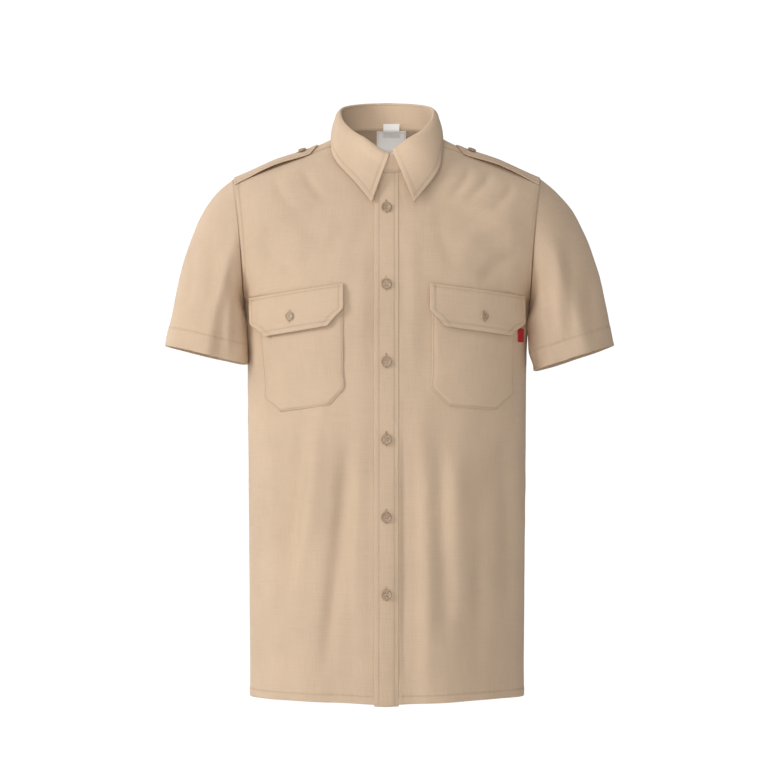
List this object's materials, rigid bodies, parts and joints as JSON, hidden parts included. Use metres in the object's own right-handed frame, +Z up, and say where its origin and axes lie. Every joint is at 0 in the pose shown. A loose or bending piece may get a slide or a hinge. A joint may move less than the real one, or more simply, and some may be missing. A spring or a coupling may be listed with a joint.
{
  "type": "work shirt",
  "caption": "Short-sleeved work shirt in a worn, hollow shape, with a pointed collar, shoulder straps, flap chest pockets and a buttoned front band",
  "frame": {"origin": "midway between the high points of the two shoulders, on the axis of the neck, where a wearer holds the shirt up", "axes": "+Z up the body, -Y out of the front, +X towards the wearer's left"},
  "size_m": [0.6038, 0.2503, 0.8056],
  "materials": {
    "shirting": "plain-woven cotton blend, light sheen",
    "button": "satin, horn-coloured",
    "label": "satin-woven, bare",
    "tab": "woven, bare"
  },
  "bodies": {
    "root": {"front_left": "shirting", "front_right": "shirting", "placket": "shirting", "back": "shirting", "yoke": "shirting", "sleeve_left": "shirting", "sleeve_right": "shirting", "collar_stand": "shirting", "collar_leaf": "shirting", "pocket_left": "shirting", "pocket_right": "shirting", "flap_left": "shirting", "flap_right": "shirting", "strap_left": "shirting", "strap_right": "shirting", "label_main": "label", "label_small": "label", "pocket_tab": "tab", "button_flap_left": "button", "button_flap_right": "button", "button_strap_left": "button", "button_strap_right": "button", "button_front_1": "button", "button_front_2": "button", "button_front_3": "button", "button_front_4": "button", "button_front_5": "button", "button_front_6": "button"}
  },
  "joints": []
}
